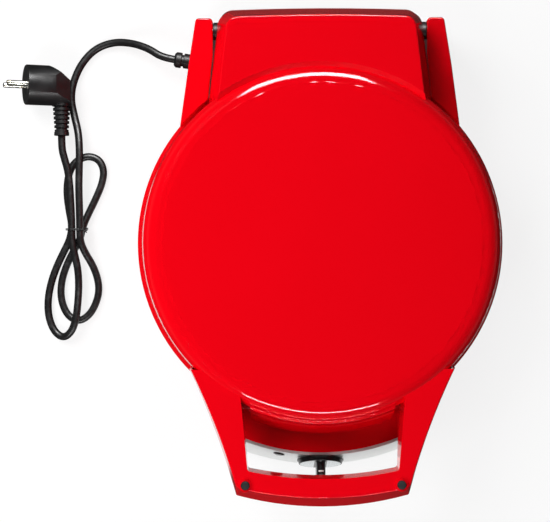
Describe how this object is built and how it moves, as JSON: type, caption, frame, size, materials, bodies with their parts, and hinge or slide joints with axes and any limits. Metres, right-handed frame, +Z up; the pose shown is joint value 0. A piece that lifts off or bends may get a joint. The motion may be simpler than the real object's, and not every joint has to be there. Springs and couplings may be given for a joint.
{
  "type": "electric pizza maker",
  "caption": "Round tabletop pizza maker: glossy lid with a loop handle, hinged at the rear to a base with a thermostat knob, and a mains lead in a tied bundle.",
  "frame": {"origin": "on the table, under the middle of the cooker's outline", "axes": "+Z up, +Y from the handle towards the hinge, +X to the user's right"},
  "size_m": [0.4618, 0.449, 0.112],
  "materials": {
    "red_gloss": "high gloss",
    "black_plastic": "satin",
    "black_rubber": "matte",
    "steel_screw": "satin",
    "silver_panel": "satin metallic lacquer",
    "dark_lens": "translucent dark red",
    "white_mark": "satin",
    "thermostat_body": "matte",
    "cast_plate": "non-stick coat",
    "element_sheath": "heat-dulled",
    "bright_reflector": "mill finish",
    "wire_cover": "matte",
    "cord_cover": "satin",
    "tie_wire": "satin",
    "plug_black": "satin",
    "plug_metal": "nickel plated"
  },
  "bodies": {
    "base": {"arm_screws": "steel_screw", "base_cover": "black_plastic", "base_feet": "black_rubber", "base_screws": "steel_screw", "base_shell": "red_gloss", "base_wiring": "wire_cover", "control_panel": "silver_panel", "cord_gland": "black_plastic", "cord_hank": "cord_cover", "cord_lead": "cord_cover", "cord_tail": "cord_cover", "cord_tie": "tie_wire", "hinge_pins": "steel_screw", "indicator_lamp": "black_plastic", "indicator_lens": "dark_lens", "inner_lead": "wire_cover", "left_hinge_arm": "red_gloss", "lower_heating_element": "element_sheath", "lower_plate": "cast_plate", "lower_plate_screws": "steel_screw", "lower_reflector": "bright_reflector", "plug_body": "plug_black", "plug_contacts": "plug_metal", "plug_pins": "plug_metal", "right_hinge_arm": "red_gloss", "terminal_block": "thermostat_body", "terminal_screws": "steel_screw", "thermal_fuse": "thermostat_body", "thermostat": "thermostat_body"},
    "lid": {"lid_shell": "red_gloss", "lid_feet": "black_rubber", "handle_cover": "black_plastic", "lid_frame": "black_plastic", "lid_screws": "steel_screw", "upper_plate": "cast_plate", "upper_heating_element": "element_sheath", "upper_reflector": "bright_reflector", "upper_plate_screws": "steel_screw"},
    "knob": {"thermostat_shaft": "steel_screw", "thermostat_knob": "black_plastic", "knob_inlays": "silver_panel", "knob_pointer": "white_mark"}
  },
  "joints": [
    {"name": "lid_hinge", "type": "hinge", "parent": "base", "child": "lid", "pos_m": [0, 0.2025, 0.0565], "axis": [-1, 0, 0], "range_deg": [0, 180]},
    {"name": "thermostat_turn", "type": "hinge", "parent": "base", "child": "knob", "pos_m": [0, -0.19062, 0.03], "axis": [0, 0.9461, -0.3239], "range_deg": [0, 270]}
  ]
}
